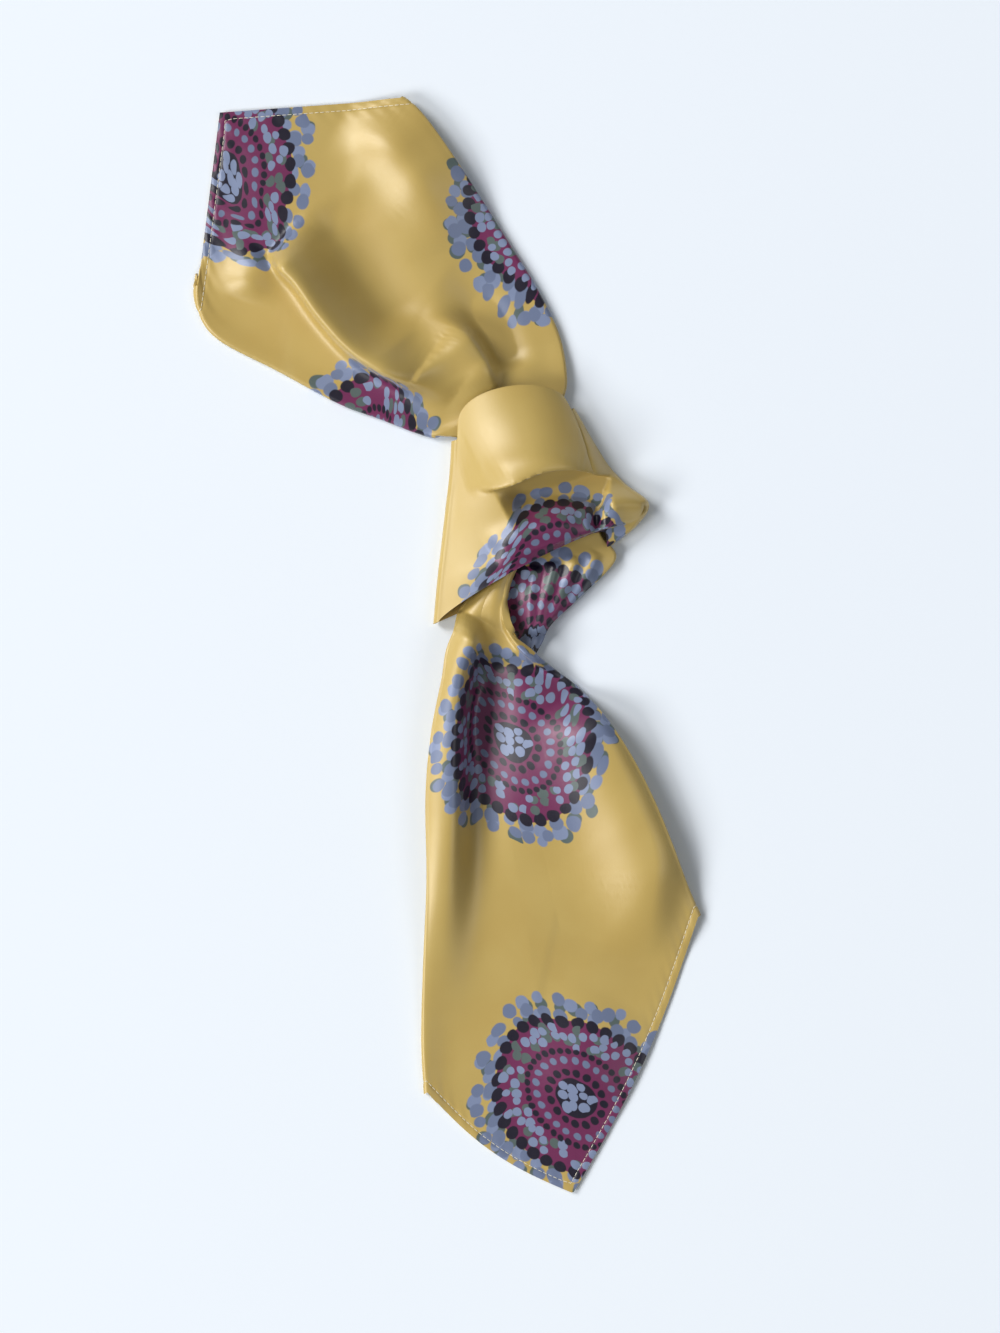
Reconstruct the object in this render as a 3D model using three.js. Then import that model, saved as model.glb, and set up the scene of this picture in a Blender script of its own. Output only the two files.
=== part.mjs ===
// A silk neckerchief: a band of doubled cloth with pointed ends, tied once in its middle and lying flat.
// Millimetres, +Z up, +Y towards the upper tail. The origin lies under the middle of the whole.
import * as THREE from "three";

// Cloth
const CLOTH = 1.5; // one layer
const LAYER_GAP = 0.6; // air between two layers that lie on each other
const PIECE_GAP = 0.3; // between two pieces that touch
const FOLD_HEIGHT = 4.4; // between the layers' middles beside a soft side fold
const FOLD_REACH = 10; // how far in from a side fold the layers close up
const HEM_WIDTH = 4.5;
const HEM_THICKNESS = 2.2;
const HOLLOW_SOFTNESS = 2; // how gently a hollow's bottom meets the cloth below it

// Shares of a piece's width
const MOST_FLAP = 0.49; // how far in the folded-back flaps may reach
const FLAP_STEP = 0.06; // over what the front comes down from two layers to one
const MITRE = 0.03; // where the two hems of an end run into each other

// Tails: the length runs from the knot's mouth to the point
const UPPER_LENGTH = 218;
const UPPER_WIDTH = 150;
const LOWER_LENGTH = 295;
const LOWER_WIDTH = 166;

// Knot: a flattened sleeve, its length along the tails and its width across them
const KNOT_LENGTH = 118;
const KNOT_WIDTH = 103;
const KNOT_CROWN = 14; // how far its front arches above its side folds
const KNOT_SIDE = 10; // between the middles of its back and its front beside the side folds
const KNOT_BULGE = 3; // how far those side folds round out
const ARCH_POWER = 2.2; // of the arch over a section: 2 is a parabola, more is flatter on top

// Where the pieces start, before the whole is centred
const KNOT_MOUTH = [37, 124];
const UPPER_START = [32.4, 115.9];
const UPPER_TURN = 43.4;
const LOWER_START = [21.6, 13.4];
const HALF_TURN = 180;

// Heights that a fold's underside can lie at
const REST = {
  floor: 0,
  wrap: CLOTH + PIECE_GAP,
  gather: 8.3,
};

// How finely a section is cut
const FLAP_STEPS = 4;
const ROLL_STEPS = 3;
const FOLD_LINE_STEPS = 24;
const CROWDING = 0.6; // how much closer the steps come where a piece's folds are busiest
const NUDGE = 0.01; // between the places that a slope is measured from

const { clamp, degToRad, lerp, smoothstep } = THREE.MathUtils;

// A smooth value between the rows of a table
function betweenRows(values, at) {
  const i = Math.min(Math.floor(at), values.length - 2);
  const u = at - i;
  const [a, b, c, d] = [i - 1, i, i + 1, i + 2].map((k) => values[clamp(k, 0, values.length - 1)]);
  return b + 0.5 * u * (c - a + u * (2 * a - 5 * b + 4 * c - d + u * (3 * (b - c) + d - a)));
}

// The same, without running past the rows' own values
function easedRows(values, at) {
  const i = Math.min(Math.floor(at), values.length - 2);
  return lerp(values[i], values[i + 1], smoothstep(at - i, 0, 1));
}

// An arch over a section, from 0 at its sides to 1
function arch(share) {
  return 1 - Math.abs(2 * share - 1) ** ARCH_POWER;
}

// A fold in millimetres, from its shares of a piece's half width and length
function sizedFold({ line, height, left, right, lean = 0, fade = [0.25, 0.25] }, half, length) {
  const places = line.map(([across, out]) => new THREE.Vector2(across * half, out * length));
  const curve = new THREE.SplineCurve(places);
  return {
    curve,
    points: curve.getPoints(FOLD_LINE_STEPS),
    height: height * half,
    left: left * half,
    right: right * half,
    lean: lean * half,
    fade,
  };
}

// The nearest place on a line: how far along it as a share, and how far off, positive on its right
function nearest(line, point) {
  let best = { off: Infinity };
  for (let i = 0; i < line.length - 1; i++) {
    const step = line[i + 1].clone().sub(line[i]);
    const from = point.clone().sub(line[i]);
    const u = clamp(from.dot(step) / step.lengthSq(), 0, 1);
    const off = from.clone().addScaledVector(step, -u);
    if (off.length() < Math.abs(best.off)) {
      const side = Math.sign(step.y * from.x - step.x * from.y) || 1;
      best = { along: (i + u) / (line.length - 1), off: side * off.length() };
    }
  }
  return best;
}

// How much of a fold there is at a point, from 0 to 1, and how far it leans over there
function foldAt(fold, point) {
  const { along, off } = nearest(fold.points, point);
  const ends = smoothstep(along, 0, fold.fade[0]) * smoothstep(1 - along, 0, fold.fade[1]);
  const before = off + fold.lean;
  const swell = ends * Math.exp(-((before / (before < 0 ? fold.left : fold.right)) ** 2));
  const way = fold.curve.getTangent(along);
  return { swell, leaning: new THREE.Vector2(way.y, -way.x).multiplyScalar(fold.lean * swell) };
}

// A piece of draped cloth: its side folds and heights come from rows, its ridges and valleys from folds
class Drape {
  constructor({ rows, folds, tip, fold, ...rest }) {
    Object.assign(this, { mouths: [], busy: [0.5, 0.5], columns: 20, ...rest });
    const { width, length } = this;
    this.half = width / 2;
    this.fold = fold ?? { height: FOLD_HEIGHT, bulge: FOLD_HEIGHT / 2, reach: FOLD_REACH, open: false };
    this.folds = folds.map((shares) => sizedFold(shares, this.half, length));
    const column = (name, otherwise = 0) => rows.map((row) => row[name] ?? otherwise);
    this.left = [column("left").map((v) => v * this.half), column("leftOut").map((v) => v * length)];
    this.right = [column("right").map((v) => v * this.half), column("rightOut").map((v) => v * length)];
    this.point = column("point");
    this.crown = column("crown");
    this.lifts = [0, 1].map((side) => column("on", ["floor", "floor"]).map((names) => REST[names[side]]));
    this.tip = tip && { ...tip, at: new THREE.Vector2(tip.across * this.half, tip.out * length) };
    this.last = rows.length - 1;
  }

  side(edges, at) {
    return new THREE.Vector2(betweenRows(edges[0], at), betweenRows(edges[1], at));
  }

  widthAt(at) {
    return this.side(this.left, at).distanceTo(this.side(this.right, at));
  }

  // How far the point of the end leads the straight line between its corners
  lead(share) {
    const [l, r] = [this.side(this.left, 0), this.side(this.right, 0)];
    const { share: s, at: tip, leftBow, rightBow } = this.tip;
    const before = share < s;
    const from = before ? l : tip;
    const leg = (before ? tip : r).clone().sub(from);
    const u = before ? share / s : (share - s) / (1 - s);
    const bow = (before ? leftBow : rightBow) * Math.sin(Math.PI * u);
    const outwards = new THREE.Vector2(-leg.y, leg.x).multiplyScalar(bow);
    return from.clone().addScaledVector(leg, u).add(outwards).sub(l.clone().lerp(r, share));
  }

  plan(at, share) {
    const p = this.side(this.left, at).lerp(this.side(this.right, at), share);
    return this.tip ? p.addScaledVector(this.lead(share), betweenRows(this.point, at)) : p;
  }

  // The share of the width that a side fold's bulge takes
  roll(at) {
    return this.fold.bulge / this.widthAt(at);
  }

  // The share of the way from the left side fold's bulge to the right one's
  inner(at, share) {
    const roll = this.roll(at);
    return clamp((share - roll) / (1 - 2 * roll), 0, 1);
  }

  // How far a mouth's front edge runs out beyond its back edge
  overhang(at, share) {
    const u = this.inner(at, share);
    const runs = this.mouths.map(({ row, rows, out, left, right }) => {
      const near = smoothstep(1 - Math.abs(at - row) / rows, 0, 1);
      return out * near * u ** left * (1 - u) ** right;
    });
    return this.length * runs.reduce((sum, run) => sum + run, 0);
  }

  lift(at, share) {
    return lerp(easedRows(this.lifts[0], at), easedRows(this.lifts[1], at), this.inner(at, share));
  }

  // How far in the folded-back flaps reach, as a share of the width
  flap(at) {
    const corner = this.side(this.left, 0).distanceTo(this.side(this.left, at));
    return Math.min(MOST_FLAP, (2 * FOLD_HEIGHT + corner) / this.widthAt(at));
  }

  // Between the middles of the front and the back layer
  spacing(at, share) {
    const inside = Math.min(share, 1 - share) * this.widthAt(at);
    const closed = CLOTH + LAYER_GAP;
    return closed + (this.fold.height - closed) * Math.exp(-((inside / this.fold.reach) ** 2));
  }

  // The middle of the front layer
  front(at, share) {
    const flat = this.plan(at, share);
    flat.y += this.overhang(at, share);
    const spread = flat.clone();
    let rise = easedRows(this.crown, at) * KNOT_CROWN * arch(this.inner(at, share));
    for (const fold of this.folds) {
      const { swell, leaning } = foldAt(fold, flat);
      rise += fold.height * swell;
      spread.add(leaning);
    }
    const single = smoothstep(Math.min(share, 1 - share) - this.flap(at), 0, FLAP_STEP);
    const low = lerp(CLOTH / 2 + this.spacing(at, share), HEM_THICKNESS / 2, this.tip ? single : 0);
    const above = (rise + Math.hypot(rise, HOLLOW_SOFTNESS) - HOLLOW_SOFTNESS) / 2;
    return new THREE.Vector3(spread.x, spread.y, this.lift(at, share) + low + Math.max(0, above));
  }

  upwards(at, share) {
    const [a, b] = [clamp(at - NUDGE, 0, this.last), clamp(at + NUDGE, 0, this.last)];
    const [c, d] = [clamp(share - NUDGE, 0, 1), clamp(share + NUDGE, 0, 1)];
    const down = this.front(b, share).sub(this.front(a, share));
    const across = this.front(at, d).sub(this.front(at, c));
    return down.cross(across).normalize();
  }

  // The middle of the back layer
  back(at, share) {
    const floor = CLOTH / 2 + this.lift(at, share);
    if (this.fold.open) {
      const flat = this.plan(at, share);
      return new THREE.Vector3(flat.x, flat.y, floor);
    }
    const below = this.front(at, share).addScaledVector(this.upwards(at, share), -this.spacing(at, share));
    below.z = Math.max(below.z, floor);
    return below;
  }

  // A place on the cloth: turn is -1 on the back, 1 on the front and between them round a side fold
  place(at, { share, turn }) {
    if (turn === 1) return this.front(at, share);
    if (turn === -1) return this.back(at, share);
    const angle = (turn * Math.PI) / 2;
    const outwards = this.side(this.left, at).sub(this.side(this.right, at)).normalize();
    outwards.multiplyScalar(share < 0.5 ? this.fold.bulge : -this.fold.bulge);
    const p = this.back(at, share).lerp(this.front(at, share), (1 + Math.sin(angle)) / 2);
    return p.add(new THREE.Vector3(outwards.x, outwards.y, 0).multiplyScalar(Math.cos(angle)));
  }

  // Even steps brought closer together where the folds are busiest
  closer(u, at) {
    const busy = lerp(this.busy[0], this.busy[1], at / this.last);
    const wave = (v) => Math.sin(2 * Math.PI * (v - busy));
    return u - (CROWDING * (wave(u) - wave(0))) / (2 * Math.PI);
  }

  // Places along a section: in along the left flap, round the left fold, over the front and back again
  places(at, from = 0, to = 1) {
    const roll = this.roll(at);
    const flap = this.flap(at);
    const list = [];
    const steps = (n, place) => Array.from({ length: n }, (_, k) => list.push(place(k / n)));
    const inner = this.fold.open ? 0.5 : flap;
    if (from === 0) {
      steps(FLAP_STEPS, (u) => ({ share: lerp(inner, roll, u), turn: -1 }));
      steps(ROLL_STEPS, (u) => ({ share: roll, turn: 2 * u - 1 }));
    }
    const [first, last] = [Math.max(from, roll), Math.min(to, 1 - roll)];
    const whole = to - from === 1;
    const count = Math.ceil(this.columns * (to - from));
    steps(count, (u) => ({ share: lerp(first, last, whole ? this.closer(u, at) : u), turn: 1 }));
    if (to < 1) list.push({ share: last, turn: 1 });
    if (to === 1) {
      steps(ROLL_STEPS, (u) => ({ share: 1 - roll, turn: 1 - 2 * u }));
      steps(FLAP_STEPS, (u) => ({ share: 1 - lerp(roll, inner, u), turn: -1 }));
      if (!this.fold.open) list.push({ share: 1 - inner, turn: -1 });
    }
    return list;
  }

  // The row position of the line where the end's hem stops
  hemAt(share) {
    const width = (from) => {
      const leg = this.plan(0, from + NUDGE).sub(this.plan(0, from)).normalize();
      const inwards = (at) => Math.abs(leg.cross(this.plan(at, from).sub(this.plan(0, from))));
      let [near, far] = [0, 2];
      while (far - near > 0.001) {
        const middle = (near + far) / 2;
        if (inwards(middle) < HEM_WIDTH) near = middle;
        else far = middle;
      }
      return near;
    };
    const s = this.tip.share;
    const [before, after] = [width(Math.min(share, s - MITRE)), width(Math.max(share, s))];
    return lerp(before, after, smoothstep(share, s - MITRE, s + MITRE));
  }
}

// Shifts a sheet's middle along its normals and closes it into a solid; rows of points, ring or open
function sheetSolid(rows, thickness, ring = false) {
  const n = rows.length;
  const m = rows[0].length;
  const j = (k) => (ring ? (k + m) % m : clamp(k, 0, m - 1));
  const positions = [];
  for (const side of [0.5, -0.5]) {
    rows.forEach((row, i) => {
      row.forEach((p, k) => {
        const down = rows[Math.min(i + 1, n - 1)][k].clone().sub(rows[Math.max(i - 1, 0)][k]);
        const across = row[j(k + 1)].clone().sub(row[j(k - 1)]);
        const out = p.clone().addScaledVector(down.cross(across).normalize(), side * thickness);
        positions.push(out.x, out.y, Math.max(0, out.z));
      });
    });
  }
  const at = (side, i, k) => side * n * m + i * m + j(k);
  const index = [];
  const quad = (a, b, c, d) => index.push(a, b, c, a, c, d);
  const strips = ring ? m : m - 1;
  for (let i = 0; i < n - 1; i++) {
    for (let k = 0; k < strips; k++) {
      quad(at(0, i, k), at(0, i + 1, k), at(0, i + 1, k + 1), at(0, i, k + 1));
      quad(at(1, i, k), at(1, i, k + 1), at(1, i + 1, k + 1), at(1, i + 1, k));
    }
    if (!ring) {
      quad(at(0, i, 0), at(1, i, 0), at(1, i + 1, 0), at(0, i + 1, 0));
      quad(at(0, i, m - 1), at(0, i + 1, m - 1), at(1, i + 1, m - 1), at(1, i, m - 1));
    }
  }
  for (let k = 0; k < strips; k++) {
    quad(at(0, 0, k), at(0, 0, k + 1), at(1, 0, k + 1), at(1, 0, k));
    quad(at(0, n - 1, k), at(1, n - 1, k), at(1, n - 1, k + 1), at(0, n - 1, k + 1));
  }
  const geometry = new THREE.BufferGeometry();
  geometry.setAttribute("position", new THREE.Float32BufferAttribute(positions, 3));
  geometry.setIndex(index);
  return geometry;
}

// Rows of points of a panel, from one row position to another
function panelRows(drape, from, count) {
  return Array.from({ length: count + 1 }, (_, i) => {
    const u = i / count;
    const at = (share) => lerp(from(share), drape.last, u);
    return drape.places(at(0)).map((place) => drape.place(at(place.share), place));
  });
}

const SATIN = new THREE.MeshStandardMaterial({ color: 0xc8af6e, roughness: 0.42, metalness: 0 });
const PRINTED = new THREE.MeshStandardMaterial({ color: 0x8a5a86, roughness: 0.45, metalness: 0 });

function meshOf(name, geometry, material, drape) {
  const mesh = new THREE.Mesh(geometry, material.clone());
  mesh.name = name;
  mesh.position.set(drape.start[0], drape.start[1], 0);
  mesh.rotation.z = degToRad(drape.turn);
  return mesh;
}

// A tail's panel, from the inner line of its hems into the knot
function tailPanel(name, drape, count) {
  const gap = PIECE_GAP / HEM_WIDTH;
  const rows = panelRows(drape, (share) => drape.hemAt(share) * (1 + gap), count);
  return meshOf(name, sheetSolid(rows, CLOTH), SATIN, drape);
}

// One leg of a tail's hem, round the side fold's corner and along the edge to the point
function hem(name, drape, from, to) {
  const mitre = (PIECE_GAP * 1.5) / drape.width;
  const [a, b] = [from === 0 ? 0 : from + mitre, to === 1 ? 1 : to - mitre];
  const rows = [0, 0.5, 1].map((u) => {
    const places = drape.places(0, a, b);
    return places.map((place) => drape.place(u * drape.hemAt(place.share), place));
  });
  return meshOf(name, sheetSolid(rows, HEM_THICKNESS), SATIN, drape);
}

// Tails: each row is a line across, from the end to the knot. Its two ends, on the side folds, are shares
// of the half width and of the length; point is how much of the end's point it has, crown how much of the
// knot's arch, and on what its left and right side folds lie on, the floor unless named.
// Each fold has its crest's line, as such shares, and as shares of the half width its height, its reach to
// the left and right of the line, and how far it leans over to the right; fade is how much of the line it
// takes to rise and to sink.
const upperTail = new Drape({
  width: UPPER_WIDTH,
  length: UPPER_LENGTH,
  start: UPPER_START,
  turn: UPPER_TURN,
  tip: { share: 0.5, across: 0, out: 1, leftBow: 0, rightBow: 0 },
  busy: [0.28, 0.12],
  columns: 26,
  rows: [
    { left: -0.943, leftOut: 0.733, right: 0.986, rightOut: 0.723, point: 1, crown: 0.08 },
    { left: -1.04, leftOut: 0.69, right: 1.006, rightOut: 0.68, point: 0.9, crown: 0.16 },
    { left: -1.075, leftOut: 0.61, right: 0.985, rightOut: 0.6, point: 0.7, crown: 0.26 },
    { left: -0.922, leftOut: 0.458, right: 0.91, rightOut: 0.45, point: 0.45, crown: 0.38 },
    { left: -0.773, leftOut: 0.306, right: 0.83, rightOut: 0.317, point: 0.25, crown: 0.45 },
    { left: -0.644, leftOut: 0.216, right: 0.752, rightOut: 0.187, point: 0.1, crown: 0.48 },
    { left: -0.515, leftOut: 0.125, right: 0.641, rightOut: 0.068, crown: 0.45 },
    { left: -0.425, leftOut: 0.089, right: 0.47, rightOut: -0.02, crown: 0.45, on: ["wrap", "wrap"] },
    { left: -0.325, leftOut: 0.044, right: 0.335, rightOut: -0.055, crown: 0.4, on: ["wrap", "wrap"] },
    { left: -0.328, leftOut: -0.02, right: 0.19, rightOut: -0.105, crown: 0.3, on: ["wrap", "wrap"] },
  ],
  folds: [
    {
      line: [[-0.46, 0.68], [-0.43, 0.585], [-0.47, 0.48], [-0.47, 0.36], [-0.37, 0.23], [-0.28, 0.12]],
      height: 0.24, left: 0.19, right: 0.13, lean: 0.09, fade: [0.2, 0.3],
    },
    { line: [[0.1, 0.68], [0, 0.55], [-0.09, 0.42], [-0.15, 0.31]], height: -0.07, left: 0.24, right: 0.19 },
    {
      line: [[0.6, 0.8], [0.7, 0.68], [0.68, 0.52], [0.54, 0.38]],
      height: 0.16, left: 0.35, right: 0.24, fade: [0.45, 0.45],
    },
    {
      line: [[0.02, 0.04], [0.1, 0.11], [0.15, 0.18], [0.16, 0.25], [0.08, 0.33]],
      height: 0.17, left: 0.26, right: 0.12, lean: 0.04, fade: [0.35, 0.45],
    },
    {
      line: [[0.33, 0.36], [0.38, 0.26], [0.34, 0.17], [0.22, 0.08]],
      height: -0.11, left: 0.11, right: 0.2, fade: [0.5, 0.2],
    },
  ],
});

const lowerTail = new Drape({
  width: LOWER_WIDTH,
  length: LOWER_LENGTH,
  start: LOWER_START,
  turn: HALF_TURN,
  tip: { share: 0.627, across: -0.515, out: 1, leftBow: 0.035, rightBow: 0.07 },
  busy: [0.75, 0.5],
  columns: 22,
  rows: [
    { left: -1.297, leftOut: 0.51, right: 0.409, rightOut: 0.817, point: 1, crown: 0.05 },
    { left: -1.235, leftOut: 0.468, right: 0.428, rightOut: 0.725, point: 0.85, crown: 0.1 },
    { left: -1.12, leftOut: 0.38, right: 0.428, rightOut: 0.594, point: 0.55, crown: 0.2 },
    { left: -1, leftOut: 0.3, right: 0.428, rightOut: 0.454, point: 0.3, crown: 0.35 },
    { left: -0.86, leftOut: 0.226, right: 0.44, rightOut: 0.314, point: 0.15, crown: 0.5 },
    { left: -0.68, leftOut: 0.155, right: 0.409, rightOut: 0.2, point: 0.05, crown: 0.6 },
    { left: -0.45, leftOut: 0.093, right: 0.345, rightOut: 0.1, crown: 0.65 },
    { left: -0.3, leftOut: 0.05, right: 0.31, rightOut: 0.045, crown: 0.6, on: ["gather", "floor"] },
    { left: -0.12, leftOut: 0.003, right: 0.23, rightOut: -0.003, crown: 0.5, on: ["gather", "wrap"] },
    { left: -0.112, leftOut: -0.052, right: 0.137, rightOut: -0.038, crown: 0.4, on: ["gather", "wrap"] },
    { left: -0.174, leftOut: -0.101, right: 0.031, rightOut: -0.07, crown: 0.3, on: ["gather", "wrap"] },
  ],
  folds: [
    {
      line: [
        [0.27, 0.8], [0.27, 0.6], [0.26, 0.45], [0.25, 0.3],
        [0.23, 0.2], [0.2, 0.11], [0.14, 0.05], [0.05, 0],
      ],
      height: 0.19, left: 0.22, right: 0.17, lean: 0.04, fade: [0.4, 0.12],
    },
    {
      line: [[-0.03, -0.05], [0.03, 0.02], [0.09, 0.09], [0.12, 0.18], [0.12, 0.3], [0.1, 0.48]],
      height: -0.17, left: 0.2, right: 0.09, fade: [0.5, 0.45],
    },
    {
      line: [[-0.07, -0.04], [-0.1, 0.01], [-0.19, 0.05], [-0.34, 0.085], [-0.51, 0.12]],
      height: 0.06, left: 0.06, right: 0.05, fade: [0.2, 0.35],
    },
    {
      line: [[-0.5, 0.12], [-0.7, 0.2], [-0.9, 0.32], [-1.02, 0.43], [-0.95, 0.6]],
      height: 0.2, left: 0.18, right: 0.34, fade: [0.4, 0.25],
    },
  ],
});

// The knot: the rows of the wrap run from its lower mouth to its upper one
const wrap = new Drape({
  width: KNOT_WIDTH,
  length: KNOT_LENGTH,
  start: KNOT_MOUTH,
  turn: HALF_TURN,
  fold: { height: KNOT_SIDE, bulge: KNOT_BULGE, reach: Infinity, open: true },
  mouths: [
    { row: 0, rows: 1.5, out: -0.13, left: 0.15, right: 0.6 },
    { row: 5, rows: 1.8, out: -0.27, left: 0.5, right: 0.25 },
  ],
  rows: [
    { left: -0.92, leftOut: 0.611, right: 0.86, rightOut: 0.956, crown: 0.75 },
    { left: -1.16, leftOut: 0.528, right: 0.82, rightOut: 0.764, crown: 0.95 },
    { left: -1.28, leftOut: 0.432, right: 0.78, rightOut: 0.611, crown: 1 },
    { left: -1.03, leftOut: 0.336, right: 0.74, rightOut: 0.458, crown: 1 },
    { left: -0.8, leftOut: 0.179, right: 0.7, rightOut: 0.306, crown: 0.9 },
    { left: -0.54, leftOut: 0.013, right: 0.68, rightOut: 0.162, crown: 0.75 },
  ],
  folds: [
    {
      line: [
        [0.5, 0.44], [0.28, 0.41], [0.04, 0.35], [-0.25, 0.3],
        [-0.6, 0.29], [-0.88, 0.33], [-1.05, 0.38],
      ],
      height: 0.18, left: 0.27, right: 0.14, lean: 0.1, fade: [0.35, 0.2],
    },
    {
      line: [[0.18, 0.46], [-0.05, 0.41], [-0.35, 0.38], [-0.7, 0.36], [-0.9, 0.37]],
      height: -0.22, left: 0.14, right: 0.21, fade: [0.25, 0.2],
    },
    { line: [[0.3, 0.66], [-0.1, 0.56], [-0.6, 0.49]], height: 0.07, left: 0.16, right: 0.14 },
    {
      line: [[-0.84, 0.46], [-1.02, 0.43], [-1.24, 0.44]],
      height: 0.12, left: 0.16, right: 0.14, fade: [0.3, 0.1],
    },
    { line: [[-0.86, 0.38], [-0.76, 0.47], [-0.78, 0.57]], height: -0.12, left: 0.06, right: 0.06 },
  ],
});

// The pleats of the gathered stretch, which run together where it goes under the lower tail
const GATHER_PLEATS = 4;
const pleats = Array.from({ length: GATHER_PLEATS }, (_, k) => ({
  line: [[-0.15 - 0.21 * k, 0.7 - 0.02 * k], [-0.11 - 0.145 * k, 0.85], [-0.09 - 0.04 * k, 1.026]],
  height: 0.05, left: 0.06, right: 0.07, fade: [0.15, 0.3],
}));

// The gathered stretch: its rows run from under the lower tail into the wrap
const gather = new Drape({
  width: KNOT_WIDTH,
  length: KNOT_LENGTH,
  start: KNOT_MOUTH,
  turn: HALF_TURN,
  rows: [
    { left: -0.11, leftOut: 1.13, right: 0.08, rightOut: 1.13, crown: 0.15 },
    { left: -0.22, leftOut: 1.043, right: 0.02, rightOut: 1.034, crown: 0.2 },
    { left: -0.33, leftOut: 0.956, right: 0.07, rightOut: 0.973, crown: 0.3 },
    { left: -0.58, leftOut: 0.851, right: 0.13, rightOut: 0.895, crown: 0.4 },
    { left: -0.83, leftOut: 0.746, right: 0.16, rightOut: 0.816, crown: 0.5, on: ["wrap", "wrap"] },
    { left: -0.96, leftOut: 0.659, right: 0.16, rightOut: 0.742, crown: 0.5, on: ["wrap", "wrap"] },
    { left: -0.82, leftOut: 0.572, right: 0.14, rightOut: 0.668, crown: 0.4, on: ["wrap", "wrap"] },
    { left: -0.72, leftOut: 0.48, right: 0.12, rightOut: 0.611, crown: 0.35, on: ["wrap", "wrap"] },
  ],
  folds: pleats,
});

const cloth = new THREE.Group();
cloth.add(tailPanel("upper_tail", upperTail, 24));
cloth.add(tailPanel("lower_tail", lowerTail, 24));
cloth.add(hem("upper_hem_left", upperTail, 0, upperTail.tip.share));
cloth.add(hem("upper_hem_right", upperTail, upperTail.tip.share, 1));
cloth.add(hem("lower_hem_left", lowerTail, 0, lowerTail.tip.share));
cloth.add(hem("lower_hem_right", lowerTail, lowerTail.tip.share, 1));
cloth.add(meshOf("knot_wrap", sheetSolid(panelRows(wrap, () => 0, 12), CLOTH, true), SATIN, wrap));
cloth.add(meshOf("knot_gather", sheetSolid(panelRows(gather, () => 0, 9), CLOTH), PRINTED, gather));

// The origin lies under the middle of the whole
const middle = new THREE.Box3().setFromObject(cloth, true).getCenter(new THREE.Vector3());
cloth.position.set(-middle.x, -middle.y, 0);
const neckerchief = new THREE.Group();
neckerchief.add(cloth);

export default neckerchief;
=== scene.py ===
"""A silk neckerchief, tied once and lying flat: its cloth, hems, stitches, print, light and camera."""
import math

import bpy
import numpy as np
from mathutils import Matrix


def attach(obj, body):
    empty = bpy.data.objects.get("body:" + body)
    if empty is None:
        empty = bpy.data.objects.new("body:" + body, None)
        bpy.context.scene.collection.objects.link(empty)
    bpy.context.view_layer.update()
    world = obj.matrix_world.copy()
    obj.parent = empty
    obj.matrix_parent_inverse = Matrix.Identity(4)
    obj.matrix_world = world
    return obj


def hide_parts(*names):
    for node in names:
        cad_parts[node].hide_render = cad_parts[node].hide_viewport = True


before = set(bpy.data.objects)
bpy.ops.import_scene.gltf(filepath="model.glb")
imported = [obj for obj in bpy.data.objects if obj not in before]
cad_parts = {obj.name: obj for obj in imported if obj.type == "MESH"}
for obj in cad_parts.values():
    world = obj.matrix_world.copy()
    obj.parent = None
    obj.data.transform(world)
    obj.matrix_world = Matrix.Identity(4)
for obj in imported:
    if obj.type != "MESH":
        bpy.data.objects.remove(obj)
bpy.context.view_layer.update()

# Sizes are in millimetres; meshes are made in metres
MM = 0.001

# Cloth
CLOTH = 0.5  # one layer
LAYER_GAP = 0.5  # air between two layers that lie on each other
FOLD_HEIGHT = 3.4  # between the layers' middles beside a soft side fold
FOLD_REACH = 9  # how far in from a side fold the layers close up
REST_GAP = 0.3  # between two pieces that lie on each other
HOLLOW_SOFTNESS = 2  # how gently a hollow's bottom meets the cloth below it
SOFT_FOLD = {"height": FOLD_HEIGHT, "bulge": FOLD_HEIGHT / 2, "reach": FOLD_REACH, "open": False}

# Hems: the turned part lies under the cloth's edge
HEM_WIDTH = 4.5
HEM_FOLD = 0.6  # thickness of the turned part
HEM_GAP = 0.05  # between the turned part and the cloth that it is sewn to
HEM_FULLNESS = 0.14  # how far the turned part lifts the cloth
STITCH_PRESS = 0.28  # how deep the stitches press into it
PUCKER = 0.1  # height of the puckers that they draw in it
PUCKER_LENGTH = 8.4
PUCKER_DRIFT = 31  # length over which the puckers' spacing wanders

# Shares of a piece's width
MOST_FLAP = 0.49  # how far in the folded-back flaps may reach
FLAP_STEP = 0.06  # over what the front comes down from two layers to one
MITRE = 0.03  # where the two hems of an end run into each other
TIP_GAP = 0.004  # from the point to the end of each hem's turned part
CALM_EDGE = 0.12  # how far in from the side folds the ripples start

# How finely the cloth is cut
FLAP_STEPS = 14
ROLL_STEPS = 10
HEM_ROWS = 18
TURNED_ROWS = 7
TURNED_START = 0.03  # where they start, as a share of the hem's width
BESIDE_HEM = 1.6  # how far in the rows follow the hem, as a share of its width
NUDGE = 0.01  # between the places that a slope is measured from
SHARP_EDGE = 60  # degrees from which an edge is shaded sharp

# Tails: the length runs from the knot's mouth to the point
UPPER_LENGTH = 218
UPPER_WIDTH = 150
LOWER_LENGTH = 295
LOWER_WIDTH = 166

# Knot: a flattened sleeve, its length along the tails and its width across them
KNOT_LENGTH = 118
KNOT_WIDTH = 103
KNOT_CROWN = 14  # how far its front arches above its side folds
KNOT_SIDE = 8  # between the middles of its back and its front beside the side folds
KNOT_BULGE = 3  # how far those side folds round out
ARCH_POWER = 2.2  # of the arch over a section: 2 is a parabola, more is flatter on top

# Where the pieces lie, from the origin
MIDDLE = (-0.43, 0.85)  # the middle of the outline before the whole is centred
KNOT_MOUTH = (37, 124)
UPPER_START = (32.4, 115.9)
UPPER_TURN = 43.4
LOWER_START = (21.6, 13.4)
HALF_TURN = 180

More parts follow.
